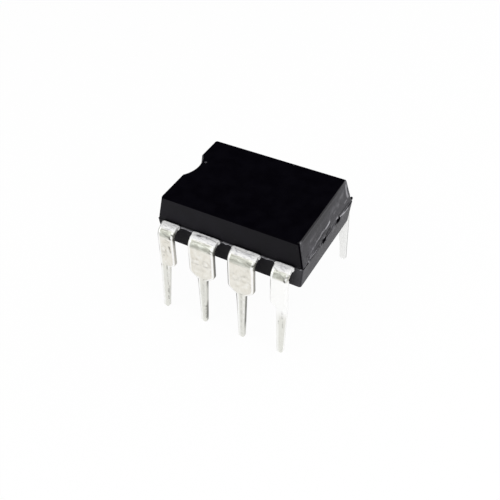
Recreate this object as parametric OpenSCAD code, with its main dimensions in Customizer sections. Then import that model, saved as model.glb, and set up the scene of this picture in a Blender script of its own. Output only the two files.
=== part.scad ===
// Integrated circuit in an eight-lead dual in-line package, through-hole, 300 mil row spacing.
// Frame: origin on the plane of the lead tips, under the middle of the package.
// +X runs along the package away from the notch, +Z is up.
// Seen from above, leads 1 to 4 stand on the -Y side from the notch end, 5 to 8 come back on +Y.

/* [Leads] */
// Distance between neighbouring leads of a row
pitch = 2.54; // [2.4:0.01:2.6]
// Width over both rows, at the outside of the bends
row_w = 8.07; // [7.9:0.01:8.5]
// Width over both rows, at the tips
tip_w = 8.84; // [8.6:0.01:9.6]
// Thickness of the lead frame sheet
lead_t = 0.25; // [0.2:0.01:0.3]
// Inside radius of the bend
bend_r = 0.36; // [0.1:0.01:0.4]
// Width of an inner lead above its shoulder
wide_w = 1.66; // [1.2:0.01:1.8]
// Half width of an end lead towards its neighbour
end_inner = 0.72; // [0.5:0.01:0.85]
// Half width of an end lead towards the package end
end_outer = 0.32; // [0.31:0.01:0.45]
// Width of the pin under the shoulder
pin_root_w = 0.62; // [0.46:0.01:0.62]
// Width of the pin at its tip
pin_tip_w = 0.38; // [0.3:0.01:0.45]
// Height of the parting plane of the package over the tips
tip_drop = 5.92; // [5.2:0.01:6.6]
// Depth under the parting plane at which the pin begins
shoulder_end = 2.56; // [2.3:0.01:2.9]
// Height over which the shoulders of each lead slope in, lead 1 to lead 8
shoulder_slope = [0.2, 0.38, 0.38, 0.38, 0.38, 0.38, 0.38, 0.38];
// Rounding of the shoulder corner
shoulder_r = 0.3; // [0.1:0.01:0.6]
// Chamfer of the cut tip
tip_chamfer = 0.06; // [0.02:0.01:0.12]
// Sideways lean of each tip from its own centre line, lead 1 to lead 8
tip_lean = [-0.23, -0.05, -0.03, -0.06, 0, 0, 0, 0];
// Length of the stub that the cut dam bar leaves on a lead edge
dam_stub = 0.06; // [0.02:0.01:0.12]

/* [Package] */
// Length of the package past the middle of an end lead
end_margin = 0.83; // [0.7:0.01:1]
// Width of the package at the parting plane
body_w = 6.37; // [6.1:0.01:6.6]
// Height of the package over the parting plane
upper_h = 1.58; // [1.3:0.01:1.8]
// Height of the package under the parting plane
lower_h = 1.53; // [1.2:0.01:1.55]
// Draft angle of the ends over the parting plane
end_draft_up = 11; // [3:0.5:15]
// Draft angle of the sides over the parting plane
side_draft_up = 7; // [3:0.5:12]
// Draft angle of the ends under the parting plane
end_draft_low = 7.5; // [3:0.5:12]
// Draft angle of the sides under the parting plane
side_draft_low = 3.5; // [3:0.5:12]
// Rounding of the upright corners
corner_r = 0.12; // [0.1:0.01:0.4]
// Rounding of the top and bottom edges
edge_r = 0.1; // [0.02:0.01:0.15]
// Ledge at the parting plane, where the lower mould half is larger
ledge = 0.035; // [0.01:0.005:0.06]
// Width of the round notch at the end of lead 1, across the top
notch_w = 2.1; // [1.6:0.1:2.4]
// How far the notch reaches in from the end of the top
notch_reach = 0.4; // [0.3:0.05:0.8]
// Compound left between the notch floor and the lead frame
notch_floor = 0.25; // [0.2:0.05:0.9]
// Taper of the notch wall
notch_draft = 8; // [2:1:12]
// Place of the notch across the package, from the middle
notch_y = 0.3; // [-0.3:0.05:0.3]
// Thickness of the moulding flash between the leads
flash_t = 0.06; // [0.03:0.01:0.1]
// How far the flash stands out between the leads
flash_w = 0.08; // [0.03:0.01:0.1]
// Width of the broken-off gate at the end away from the notch
gate_w = 2.8; // [1.5:0.1:2.8]
// Height of the break over the parting plane, at its high end
gate_h = 0.6; // [0.4:0.05:0.8]
// Height of the break over the parting plane, at its low end
gate_low = 0.3; // [0.1:0.05:0.35]
// How far the break stands out of the drafted end
gate_out = 0.02; // [0.01:0.01:0.03]
// Place of the gate across the package, from the middle
gate_y = -1.05; // [-1.4:0.05:1.4]
// Diameter of the ejector marks on the underside
ejector_d = 1.5; // [1:0.1:2]
// Depth of the ejector marks
ejector_depth = 0.07; // [0.03:0.01:0.12]

/* [Inside] */
// Length of the die paddle
paddle_l = 3.2; // [2.8:0.1:3.4]
// Width of the die paddle
paddle_w = 3; // [2.9:0.1:3.2]
// How far the paddle is pressed down under the leads
paddle_drop = 0.2; // [0.1:0.05:0.3]
// Gap between the paddle or its tie bars and the lead fingers
frame_gap = 0.25; // [0.2:0.01:0.3]
// Width of a lead finger
finger_w = 0.8; // [0.6:0.05:0.9]
// Width of the neck that locks a finger in the moulding
neck_w = 0.55; // [0.4:0.05:0.6]
// How far a lead keeps its full width inside the package
lock_depth = 0.45; // [0.3:0.05:0.5]
// Length of the neck
neck_l = 0.25; // [0.15:0.05:0.3]
// Width of a tie bar
tie_w = 0.3; // [0.2:0.05:0.4]
// Distance between the two tie bars of an end
tie_spread = 1.85; // [1.5:0.05:2]
// Place of the pair of tie bars across the package, from the middle
tie_y = 0.35; // [0:0.05:0.4]
// How far the sheared tie bars end inside the package
tie_recess = 0.07; // [0.03:0.01:0.1]
// Length of the silicon die
die_l = 1.9; // [1.2:0.1:2.2]
// Width of the silicon die
die_w = 1.5; // [1.2:0.1:1.8]
// Thickness of the silicon die
die_t = 0.3; // [0.2:0.05:0.35]
// Thickness of the die attach
attach_t = 0.03; // [0.02:0.01:0.05]
// Rim of die attach round the die
attach_rim = 0.08; // [0.04:0.01:0.15]
// Diameter of the bond wires
wire_d = 0.04; // [0.03:0.005:0.05]
// Height of a wire loop over the die
loop_h = 0.3; // [0.2:0.05:0.4]
// Distance of the bonds from the edge of the die and from the tip of the finger
bond_edge = 0.15; // [0.1:0.01:0.2]

/* [Hidden] */

row_leads = 4;                                     // leads in one row
body_l = (row_leads - 1) * pitch + 2 * end_margin;
parting_z = tip_drop;
top_z = parting_z + upper_h;
sheet_top = parting_z + lead_t / 2;                // upper face of the lead frame
bend_out = bend_r + lead_t;                        // outside radius of the bend
bend_z = sheet_top - bend_out;                     // height of the bend centre
splay = atan((tip_w - row_w) / 2 / bend_z);        // lean of the legs from upright
bend_y = row_w / 2 - bend_out / cos(splay);        // distance of the bend centre from the middle
join_y = body_w / 2 - lock_depth;                  // where a finger meets the full-width lead
stub_y = body_w / 2 + flash_w + 0.02;              // dam bar, from just clear of the flash
dam_w = bend_y - stub_y;                           // to the start of the bend
finger_end = paddle_w / 2 + frame_gap;             // tip of an inner finger
corner_end = abs(tie_y) + (tie_spread + tie_w) / 2 + frame_gap;  // tip of an end finger, across
corner_tip = max(paddle_l, pitch + finger_w) / 2 + frame_gap;    // tip of an end finger, along
paddle_top = sheet_top - paddle_drop;
tie_foot = paddle_l / 2 + 0.3;                     // where a tie bar starts to climb
tie_head = tie_foot + 2 * paddle_drop;             // where it is level with the leads again
notch_depth = upper_h - lead_t / 2 - notch_floor;
notch_r = (notch_w * notch_w / 4 + notch_reach * notch_reach) / (2 * notch_reach);
die_z = paddle_top + attach_t;
die_top = die_z + die_t;
ball_d = 2.4 * wire_d;                             // pressed ball or stitch at a wire's end
ball_h = 0.6 * wire_d;
over = 1;                                          // how far a cutting shape reaches past a face
root = 0.3;                                        // how far a stump or spur is sunk into the block
spur_reach = 0.12;                                 // how far the vent spur stands out of the side
pocket_room = 0.04;                                // space round a sheared tie bar
finger_taper = 0.7;                                // share of its neck room over which an end finger slants
edge_steps = 3;                                    // steps round a top or bottom edge
round_sides = 64;                                  // sides of a full circle in the moulding
corner_steps = 6;                                  // steps round a rounded corner
bend_steps = 10;                                   // steps round a bend
wire_sides = 6;
wire_steps = 9;

function unit(v) = v / norm(v);

// Points that round the corner p between its neighbours a and b, with the radius held within them
function round_corner(a, p, b, r) =
    let (
        u = unit(a - p),
        v = unit(b - p),
        half = acos(u * v) / 2,
        fit = min(r, 0.45 * min(norm(a - p), norm(b - p)) * tan(half)),
        c = p + unit(u + v) * fit / sin(half),
        from = p + u * fit / tan(half) - c,
        to = p + v * fit / tan(half) - c,
        start = atan2(from.y, from.x),
        sweep = (atan2(to.y, to.x) - start + 540) % 360 - 180
    )
    [for (i = [0 : corner_steps])
        c + fit * [cos(start + sweep * i / corner_steps), sin(start + sweep * i / corner_steps)]];

// Place of a lead along its row, counted 1 to 4 from the notch end
function lead_x(k) = (k - (row_leads + 1) / 2) * pitch;

// Leads 5 to 8 are leads 1 to 4 turned half round
function place_in_row(n) = (n - 1) % row_leads + 1;
module on_row(n) {
    rotate([0, 0, n > row_leads ? 180 : 0]) children();
}

// Package

// How far a drafted face has drawn in at height z of a half h high, with its rounded edge
function draw_in(z, h, draft) =
    let (
        c = (h - edge_r) * tan(draft) + edge_r / cos(draft),
        up = z - (h - edge_r)
    )
    up <= edge_r * sin(draft) ? z * tan(draft) : c - sqrt(max(0, edge_r * edge_r - up * up));

function rounded_ring(l, w, r, z) =
    [for (q = [0 : 3], i = [0 : corner_steps])
        let (a = 90 * (q + i / corner_steps), sx = (q == 0 || q == 3) ? 1 : -1, sy = q < 2 ? 1 : -1)
        [sx * (l / 2 - r) + r * cos(a), sy * (w / 2 - r) + r * sin(a), z]];

// One moulded half, from its parting face at z = 0 up to its flat face
module mould_half(l, w, h, end_draft, side_draft) {
    levels = concat(
        [0, (h - edge_r) / 2],
        [for (i = [0 : edge_steps]) h - edge_r + edge_r * sin(90 * i / edge_steps)]
    );
    rings = [for (z = levels)
        rounded_ring(l - 2 * draw_in(z, h, end_draft), w - 2 * draw_in(z, h, side_draft), corner_r, z)];
    n = len(rings[0]);
    points = [for (r = rings, p = r) p];
    polyhedron(
        points,
        concat(
            [[for (i = [0 : n - 1]) i]],
            [for (k = [0 : len(rings) - 2], i = [0 : n - 1])
                let (j = (i + 1) % n)
                [k * n + i, (k + 1) * n + i, (k + 1) * n + j, k * n + j]],
            [[for (i = [0 : n - 1]) len(points) - 1 - i]]
        )
    );
}

// Round notch that marks the end of lead 1: part of a tapered well whose middle is off the package
module notch() {
    top_end = body_l / 2 - ledge - upper_h * tan(end_draft_up);
    translate([notch_reach - notch_r - top_end, notch_y, top_z - notch_depth])
        cylinder(
            h = notch_depth + over,
            r1 = notch_r - notch_depth * tan(notch_draft),
            r2 = notch_r + over * tan(notch_draft),
            $fn = 2 * round_sides
        );
}

// Thin web of moulding compound that leaked between the leads as far as the dam bar
module flash() {
    l = lead_x(row_leads) - lead_x(1);
    translate([0, 0, parting_z])
        cube([l, body_w + 2 * flash_w, flash_t], center = true);
}

// Stump of the gate where the compound came in: it lies along the drafted end, and its break
// slants down towards the leads 1 to 4
module gate_stump() {
    translate([body_l / 2 - ledge, gate_y, parting_z])
        rotate([0, -end_draft_up, 0]) translate([-root, 0, 0])
            rotate([90, 0, 90]) linear_extrude(root + gate_out) polygon([
                [-gate_w / 2, -ledge],
                [gate_w / 2, -ledge],
                [gate_w / 2, gate_h],
                [-gate_w / 2, gate_low]
            ]);
}

// Spur of flash from the air vent at the far corner of the gate end
module vent_spur() {
    translate([body_l / 2 - corner_r - root, 0, parting_z - flash_t / 2])
        cube([root, body_w / 2 + spur_reach, flash_t]);
}

// Pockets left where the tie bars were sheared off a little under the surface
module tie_pockets() {
    for (end = [-1, 1], side = [-1, 1])
        translate([end * (body_l / 2 - tie_recess + over / 2), tie_y + side * tie_spread / 2, parting_z])
            cube([over, tie_w + 2 * pocket_room, lead_t + 2 * pocket_room], center = true);
}

// Round marks of the pins that push the package out of the mould
module ejector_marks() {
    for (end = [-1, 1])
        translate([end * body_l / 3, 0, parting_z - lower_h - over])
            cylinder(h = over + ejector_depth, d = ejector_d, $fn = round_sides);
}

// The cured block of compound, with the space of everything that it is moulded round
module mould_body() {
    color([0.04, 0.04, 0.05])
    difference() {
        union() {
            translate([0, 0, parting_z])
                mould_half(body_l - 2 * ledge, body_w - 2 * ledge, upper_h, end_draft_up, side_draft_up);
            translate([0, 0, parting_z]) mirror([0, 0, 1])
                mould_half(body_l, body_w, lower_h, end_draft_low, side_draft_low);
            flash();
            gate_stump();
            vent_spur();
        }
        notch();
        tie_pockets();
        ejector_marks();
        for (n = [1 : 2 * row_leads]) {
            lead(n);
            bond_wire(n);
        }
        die_paddle();
        die_attach();
        silicon_die();
    }
}

// Leads

// Half widths of the lead above the shoulder, towards -X and towards +X
function low_half(k) = k == 1 ? end_outer : k == row_leads ? end_inner : wide_w / 2;
function high_half(k) = k == row_leads ? end_outer : k == 1 ? end_inner : wide_w / 2;

// One shoulder: from the pin out to the full half width, with its corner rounded
function shoulder(half, side, slope) =
    let (
        pin = [side * pin_root_w / 2, parting_z - shoulder_end],
        corner = [side * half, parting_z - shoulder_end + slope],
        up = [side * half, sheet_top]
    )
    concat([pin], round_corner(pin, corner, up, shoulder_r));

function backwards(list) = [for (i = [len(list) - 1 : -1 : 0]) list[i]];

// Front view of a lead: wide part, rounded shoulders, and a tapered pin with a chamfered tip
module front_view(low, high, slope, lean) {
    half = pin_tip_w / 2;
    polygon(concat(
        [[lean - half, tip_chamfer], [lean - half + tip_chamfer, 0],
         [lean + half - tip_chamfer, 0], [lean + half, tip_chamfer]],
        shoulder(high, 1, slope),
        [[high, sheet_top + over], [-low, sheet_top + over]],
        backwards(shoulder(low, -1, slope))
    ));
}

function arc(c, r, from, to) =
    [for (i = [0 : bend_steps])
        let (a = from + (to - from) * i / bend_steps)
        c + r * [cos(a), sin(a)]];

// Side view of a lead outside the package: flat shoulder, bend and splayed leg of even thickness
module side_view() {
    c = [bend_y, bend_z];
    polygon(concat(
        [[join_y, sheet_top - lead_t], [join_y, sheet_top]],
        arc(c, bend_out, 90, splay),
        [[tip_w / 2, 0], [tip_w / 2 - lead_t / cos(splay), 0]],
        arc(c, bend_r, splay, 90)
    ));
}

// Plan of an inner finger: neck, then the bond finger that points at the paddle
module inner_finger() {
    neck_y = join_y - neck_l;
    translate([-neck_w / 2, -join_y]) square([neck_w, neck_l]);
    translate([-finger_w / 2, -neck_y]) square([finger_w, neck_y - finger_end]);
}

// Plan of an end finger on the +X end: neck, then a slanted finger to the corner of the paddle
module end_finger() {
    neck_x = lead_x(row_leads) + (end_outer - end_inner) / 2;
    neck_y = join_y - neck_l;
    tip_h = (neck_y - corner_end) * finger_taper;
    polygon([
        [neck_x - neck_w / 2, -join_y],
        [neck_x - neck_w / 2, -neck_y],
        [corner_tip, -corner_end - tip_h],
        [corner_tip, -corner_end],
        [corner_tip + finger_w / 2, -corner_end],
        [neck_x + neck_w / 2, -neck_y],
        [neck_x + neck_w / 2, -join_y]
    ]);
}

module lead(n) {
    k = place_in_row(n);
    low = low_half(k);
    high = high_half(k);
    x = lead_x(k);
    on_row(n) {
        translate([x, 0, 0]) {
            intersection() {
                rotate([90, 0, -90]) linear_extrude(2 * wide_w, center = true) side_view();
                rotate([90, 0, 0]) linear_extrude(tip_w)
                    front_view(low, high, shoulder_slope[n - 1], tip_lean[n - 1]);
            }
            translate([-low - dam_stub, -stub_y - dam_w, sheet_top - lead_t])
                cube([low + high + 2 * dam_stub, dam_w, lead_t]);
        }
        translate([0, 0, sheet_top - lead_t]) linear_extrude(lead_t) {
            if (k > 1 && k < row_leads) translate([x, 0]) inner_finger();
            if (k == row_leads) end_finger();
            if (k == 1) mirror([1, 0]) end_finger();
        }
    }
}

module tinned_lead(n) {
    color([0.87, 0.86, 0.82]) lead(n);
}

// Inside

// The paddle is pressed down under the leads, and two tie bars climb from it to each end
module die_paddle() {
    tip = body_l / 2 - tie_recess;
    color([0.72, 0.45, 0.3]) {
        translate([-paddle_l / 2, -paddle_w / 2, paddle_top - lead_t])
            cube([paddle_l, paddle_w, lead_t]);
        for (end = [0, 1], side = [-1, 1])
            mirror([end, 0, 0])
                translate([0, tie_y + side * tie_spread / 2 + tie_w / 2, 0])
                    rotate([90, 0, 0]) linear_extrude(tie_w) polygon([
                        [paddle_l / 2, paddle_top - lead_t],
                        [tie_foot, paddle_top - lead_t],
                        [tie_head, sheet_top - lead_t],
                        [tip, sheet_top - lead_t],
                        [tip, sheet_top],
                        [tie_head, sheet_top],
                        [tie_foot, paddle_top],
                        [paddle_l / 2, paddle_top]
                    ]);
    }
}

module die_attach() {
    color([0.75, 0.75, 0.72])
    translate([-die_l / 2 - attach_rim, -die_w / 2 - attach_rim, paddle_top])
        cube([die_l + 2 * attach_rim, die_w + 2 * attach_rim, attach_t]);
}

module silicon_die() {
    color([0.35, 0.36, 0.42])
    translate([-die_l / 2, -die_w / 2, die_z])
        cube([die_l, die_w, die_t]);
}

// Bond on the die and bond on the finger, for the inner and the end lead on the +X half of a row
function die_bond(k) = k == 3 ? [die_l / 4, -die_w / 2 + bond_edge] : [die_l / 2 - bond_edge, -die_w / 4];
function finger_bond(k) =
    k == 3 ? [pitch / 2, -finger_end - bond_edge] : [corner_tip + bond_edge, -corner_end - bond_edge];

function bezier(p, t) =
    pow(1 - t, 3) * p[0] + 3 * pow(1 - t, 2) * t * p[1] + 3 * (1 - t) * t * t * p[2] + pow(t, 3) * p[3];
function bezier_way(p, t) =
    pow(1 - t, 2) * (p[1] - p[0]) + 2 * (1 - t) * t * (p[2] - p[1]) + t * t * (p[3] - p[2]);

// A wire that rises from the ball on the die, loops over and comes down on the finger
module wire_loop(a, b) {
    from = [a.x, a.y, die_top + ball_h];
    to = [b.x, b.y, sheet_top + ball_h];
    rise = [0, 0, loop_h * 4 / 3];
    p = [from, from + rise, to + rise / 2, to];
    side = unit(cross([0, 0, 1], to - from));
    points = [for (i = [0 : wire_steps], s = [0 : wire_sides - 1])
        let (t = i / wire_steps, a = 360 * s / wire_sides, lift = cross(unit(bezier_way(p, t)), side))
        bezier(p, t) + wire_d / 2 * (cos(a) * side + sin(a) * lift)];
    polyhedron(
        points,
        concat(
            [[for (s = [0 : wire_sides - 1]) s]],
            [for (i = [0 : wire_steps - 1], s = [0 : wire_sides - 1])
                let (j = (s + 1) % wire_sides, k = i * wire_sides)
                [k + s, k + wire_sides + s, k + wire_sides + j, k + j]],
            [[for (s = [0 : wire_sides - 1]) len(points) - 1 - s]]
        )
    );
    for (end = [from, to])
        translate([end.x, end.y, end.z - ball_h]) cylinder(h = ball_h, d = ball_d, $fn = 24);
}

module bond_wire(n) {
    k = place_in_row(n);
    half = max(k, row_leads + 1 - k);
    on_row(n) mirror([k == half ? 0 : 1, 0, 0]) wire_loop(die_bond(half), finger_bond(half));
}

module gold_wire(n) {
    color([0.9, 0.7, 0.3]) bond_wire(n);
}

mould_body();
tinned_lead(1);  // lead_1
tinned_lead(2);  // lead_2
tinned_lead(3);  // lead_3
tinned_lead(4);  // lead_4
tinned_lead(5);  // lead_5
tinned_lead(6);  // lead_6
tinned_lead(7);  // lead_7
tinned_lead(8);  // lead_8
die_paddle();
die_attach();
silicon_die();
gold_wire(1);  // bond_wire_1
gold_wire(2);  // bond_wire_2
gold_wire(3);  // bond_wire_3
gold_wire(4);  // bond_wire_4
gold_wire(5);  // bond_wire_5
gold_wire(6);  // bond_wire_6
gold_wire(7);  // bond_wire_7
gold_wire(8);  // bond_wire_8
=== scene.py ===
# Looks of the eight-lead dual in-line package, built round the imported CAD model.
# Lengths in this script are millimetres in the part's own frame until vec() turns them into metres.

import math

import bmesh
import bpy
from mathutils import Matrix, Vector, noise


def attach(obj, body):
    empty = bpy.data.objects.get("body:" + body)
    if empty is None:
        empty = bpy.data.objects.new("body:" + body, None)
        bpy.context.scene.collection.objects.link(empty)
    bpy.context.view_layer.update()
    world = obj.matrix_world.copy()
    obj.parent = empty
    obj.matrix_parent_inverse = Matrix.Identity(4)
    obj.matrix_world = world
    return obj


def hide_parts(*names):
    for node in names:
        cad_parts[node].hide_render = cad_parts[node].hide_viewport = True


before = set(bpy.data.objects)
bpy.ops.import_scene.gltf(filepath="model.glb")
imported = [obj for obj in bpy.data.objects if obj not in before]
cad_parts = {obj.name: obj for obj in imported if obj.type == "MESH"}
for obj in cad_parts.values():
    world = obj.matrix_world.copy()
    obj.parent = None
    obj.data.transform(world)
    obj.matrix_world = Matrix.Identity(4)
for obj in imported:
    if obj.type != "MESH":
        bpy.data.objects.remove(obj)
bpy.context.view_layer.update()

MM = 0.001

# Sizes of the part, the same as in its source
ROW_LEADS = 4
PITCH = 2.54
ROW_W = 8.07
TIP_W = 8.84
LEAD_T = 0.25
BEND_R = 0.36
WIDE_W = 1.66
END_INNER = 0.72
END_OUTER = 0.32
PIN_ROOT_W = 0.62
PIN_TIP_W = 0.38
PART_Z = 5.92
SHOULDER_END = 2.56
SHOULDER_SLOPE = [0.2, 0.38, 0.38, 0.38, 0.38, 0.38, 0.38, 0.38]
SHOULDER_R = 0.3
TIP_CHAMFER = 0.06
TIP_LEAN = [-0.23, -0.05, -0.03, -0.06, 0, 0, 0, 0]
DAM_STUB = 0.06
BODY_L = 9.28
BODY_W = 6.37
UPPER_H = 1.58
LOWER_H = 1.53
END_DRAFT_UP = 11
SIDE_DRAFT_UP = 7
END_DRAFT_LOW = 7.5
SIDE_DRAFT_LOW = 3.5
CORNER_R = 0.12
EDGE_R = 0.1
LEDGE = 0.035
NOTCH_W = 2.1
NOTCH_REACH = 0.4
NOTCH_FLOOR = 0.25
NOTCH_DRAFT = 8
NOTCH_Y = 0.3
FLASH_T = 0.06
FLASH_W = 0.08
EJECTOR_D = 1.5
EJECTOR_DEPTH = 0.07
PADDLE_L = 3.2
PADDLE_W = 3
FRAME_GAP = 0.25
FINGER_W = 0.8
FINGER_TAPER = 0.7
NECK_W = 0.55
LOCK_DEPTH = 0.45
NECK_L = 0.25
TIE_W = 0.3
TIE_SPREAD = 1.85
TIE_Y = 0.35
TIE_RECESS = 0.07
POCKET_ROOM = 0.04

SHEET_TOP = PART_Z + LEAD_T / 2
TOP_Z = PART_Z + UPPER_H
BEND_OUT = BEND_R + LEAD_T
BEND_MID = BEND_R + LEAD_T / 2
BEND_Z = SHEET_TOP - BEND_OUT
SPLAY = math.atan((TIP_W - ROW_W) / 2 / BEND_Z)
BEND_Y = ROW_W / 2 - BEND_OUT / math.cos(SPLAY)
JOIN_Y = BODY_W / 2 - LOCK_DEPTH
STUB_Y = BODY_W / 2 + FLASH_W + 0.02
FINGER_END = PADDLE_W / 2 + FRAME_GAP
CORNER_END = TIE_Y + (TIE_SPREAD + TIE_W) / 2 + FRAME_GAP
CORNER_TIP = max(PADDLE_L, PITCH + FINGER_W) / 2 + FRAME_GAP
NOTCH_DEPTH = UPPER_H - LEAD_T / 2 - NOTCH_FLOOR
NOTCH_R = (NOTCH_W**2 / 4 + NOTCH_REACH**2) / (2 * NOTCH_REACH)

# Flash spur at the vent, chip beside the notch, and the leads' rolled edges on their outer and inner faces
SPUR_X, SPUR_Z, SPUR_OUT = 4.47, 0.08, 0.26
CHIP_X, CHIP_Y = -3.71, 0.80
RIM_W, RIM_DROP, INNER_DROP = 0.15, 0.045, 0.03
RIM_STEPS = [0.0, 0.03, 0.08, 0.15, 0.25, 0.4, 0.6, 0.8, 1.0]

# Shares of white: the floor's own where it is seen, and the world's as a light and in mirror images
FLOOR_GLOW = 0.95
WORLD_LIGHT = 0.656
WORLD_MIRROR = 0.8


def vec(x, y, z):
    return Vector((x * MM, y * MM, z * MM))


def along(k):
    """Place along the package of the middle of lead k of a row, where 1 is beside the notch."""
    return (k - (ROW_LEADS + 1) / 2) * PITCH


def clamp(v, low=0.0, high=1.0):
    return max(low, min(high, v))


def ease(v, low, high):
    """0 below low, 1 above high, and a smooth rise between them."""
    t = clamp((v - low) / (high - low))
    return t * t * (3 - 2 * t)


def rough(x, y, z, size, octaves=3):
    """Smooth noise between about -1 and 1, with details of the given size in millimetres."""
    p = Vector((x, y, z)) / size
    return noise.fractal(p, 0.6, 2.1, octaves, noise_basis="PERLIN_ORIGINAL")


def table(points, z):
    """Value at z on a line through (z, value) points that are sorted by z."""
    for (z0, v0), (z1, v1) in zip(points, points[1:]):
        if z <= z1:
            return v0 + (v1 - v0) * clamp((z - z0) / (z1 - z0))
    return points[-1][1]


def reach(points, u, v):
    """Distance from (u, v) to the line through the points."""
    best = 9.0
    for (a, b), (c, d) in zip(points, points[1:]):
        e, f = c - a, d - b
        t = clamp(((u - a) * e + (v - b) * f) / (e * e + f * f))
        best = min(best, math.hypot(u - a - t * e, v - b - t * f))
    return best


def oval(u, v, half_u, half_v):
    """Points round an oval dent, as a closed line."""
    turns = [2 * math.pi * i / 10 for i in range(11)]
    return [(u + half_u * math.cos(w), v + half_v * math.sin(w)) for w in turns]


def traced(traces, u, v):
    """Sum of all marks at (u, v), below 0 where they are dark and above 0 where they are light."""
    total = 0.0
    for tone, half, points in traces:
        d = reach(points, u, v)
        if d < 2.6 * half:
            total += tone * math.exp(-((d / half) ** 2))
    return total


def new_object(name, data):
    obj = bpy.data.objects.new(name, data)
    bpy.context.scene.collection.objects.link(obj)
    return obj


def mesh_object(name, bm, materials):
    """An object from the mesh code in bm, which ends with it."""
    mesh = bpy.data.meshes.new(name)
    bm.to_mesh(mesh)
    bm.free()
    for m in materials:
        mesh.materials.append(m)
    return new_object(name, mesh)


# Materials


class Paint:
    """A node material round one Principled shader, with short calls for its nodes."""

    def __init__(self, name, roughness, metallic=0.0, specular=0.5):
        self.mat = bpy.data.materials.new(name)
        self.mat.use_nodes = True
        self.tree = self.mat.node_tree
        self.tree.nodes.clear()
        out = self.tree.nodes.new("ShaderNodeOutputMaterial")
        self.shader = self.tree.nodes.new("ShaderNodeBsdfPrincipled")
        self.tree.links.new(self.shader.outputs["BSDF"], out.inputs["Surface"])
        self.shader.inputs["Roughness"].default_value = roughness
        self.shader.inputs["Metallic"].default_value = metallic
        self.shader.inputs["Specular IOR Level"].default_value = specular
        self.where = self.tree.nodes.new("ShaderNodeTexCoord").outputs["Object"]

    def put(self, value, socket):
        if isinstance(value, bpy.types.NodeSocket):
            self.tree.links.new(value, socket)
        else:
            socket.default_value = value

    def scaled(self, size, stretch=(1, 1, 1)):
        """Places in steps of the given size in millimetres, drawn out along the axes by stretch."""
        mapping = self.tree.nodes.new("ShaderNodeMapping")
        mapping.inputs["Scale"].default_value = [1 / (size * MM * s) for s in stretch]
        self.put(self.where, mapping.inputs["Vector"])
        return mapping.outputs["Vector"]

    def noise(self, size, detail=3.0, stretch=(1, 1, 1), distort=0.0):
        """Noise with details of the given size in millimetres."""
        tex = self.tree.nodes.new("ShaderNodeTexNoise")
        tex.inputs["Scale"].default_value = 1
        tex.inputs["Detail"].default_value = detail
        tex.inputs["Distortion"].default_value = distort
        self.put(self.scaled(size, stretch), tex.inputs["Vector"])
        return tex.outputs["Fac"]

    def cells(self, size):
        """Distance to the nearest of scattered points, about the given size in millimetres apart."""
        tex = self.tree.nodes.new("ShaderNodeTexVoronoi")
        tex.inputs["Scale"].default_value = 1
        self.put(self.scaled(size), tex.inputs["Vector"])
        return tex.outputs["Distance"]

    def across(self):
        """The distance from the middle of the part along its length, in metres."""
        parts = self.tree.nodes.new("ShaderNodeSeparateXYZ")
        self.put(self.where, parts.inputs[0])
        return self.math("ABSOLUTE", parts.outputs["X"])

    def layer(self, name):
        """A number that the mesh code wrote on the surface."""
        node = self.tree.nodes.new("ShaderNodeAttribute")
        node.attribute_name = name
        return node.outputs["Fac"]

    def math(self, kind, a, b=0.0):
        node = self.tree.nodes.new("ShaderNodeMath")
        node.operation = kind
        self.put(a, node.inputs[0])
        self.put(b, node.inputs[1])
        return node.outputs[0]

    def span(self, value, low, high, to_low=0.0, to_high=1.0):
        """value between low and high, carried over to the range from to_low to to_high."""
        node = self.tree.nodes.new("ShaderNodeMapRange")
        self.put(value, node.inputs["Value"])
        ends = {"From Min": low, "From Max": high, "To Min": to_low, "To Max": to_high}
        for name, number in ends.items():
            node.inputs[name].default_value = number
        return node.outputs["Result"]

    def mix(self, share, a, b):
        node = self.tree.nodes.new("ShaderNodeMix")
        node.data_type = "RGBA"
        self.put(share, node.inputs["Factor"])
        self.put(a, node.inputs[6])
        self.put(b, node.inputs[7])
        return node.outputs[2]

    def bump(self, height, depth, under=None):
        """Bump of the given depth in millimetres, on top of another bump."""
        node = self.tree.nodes.new("ShaderNodeBump")
        node.inputs["Distance"].default_value = depth * MM
        self.put(height, node.inputs["Height"])
        if under is not None:
            self.put(under, node.inputs["Normal"])
        return node.outputs["Normal"]

    def finish(self, colour, roughness=None, normal=None):
        self.put(colour, self.shader.inputs["Base Color"])
        if roughness is not None:
            self.put(roughness, self.shader.inputs["Roughness"])
        if normal is not None:
            self.put(normal, self.shader.inputs["Normal"])
        return self.mat


def rgb(r, g, b):
    """A colour as it is seen, from 0 to 255, turned into the shader's linear colour."""
    parts = []
    for v in (r, g, b):
        v = v / 255
        parts.append(v / 12.92 if v <= 0.04045 else ((v + 0.055) / 1.055) ** 2.4)
    return (*parts, 1)


def compound(name, dark, pale, roughness, specular, grain, drawn=0.0):
    """Cured moulding compound: mottled, with fine filler grains and a surface from the mould.
    drawn is the share of the light scratches that run across the ends."""
    p = Paint(name, roughness, specular=specular)
    mottle = p.noise(0.7, 4)
    fine = p.noise(0.05, 3)
    specks = p.span(p.cells(0.09), 0.0, 0.22, 1.0, 0.0)
    body = p.mix(p.span(mottle, 0.35, 0.65), dark, pale)
    lighter = [min(1.0, c * 1.7 + 0.001) for c in pale[:3]] + [1]
    colour = p.mix(p.math("MULTIPLY", specks, 0.3), body, lighter)
    if drawn:
        scratch = p.noise(0.09, 3, stretch=(1, 9, 1))
        colour = p.mix(p.math("MULTIPLY", p.span(scratch, 0.55, 0.75), drawn), colour, lighter)
    # Painted highlights and painted shade that the mesh code writes in the light and dark layers
    colour = p.mix(p.layer("light"), colour, rgb(176, 175, 180))
    colour = p.mix(p.layer("dark"), colour, rgb(8, 7, 10))
    rough_map = p.span(mottle, 0.3, 0.7, roughness - 0.06, roughness + 0.06)
    normal = p.bump(fine, grain, p.bump(p.noise(0.4, 2), grain * 0.8))
    return p.finish(colour, rough_map, normal)


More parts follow.
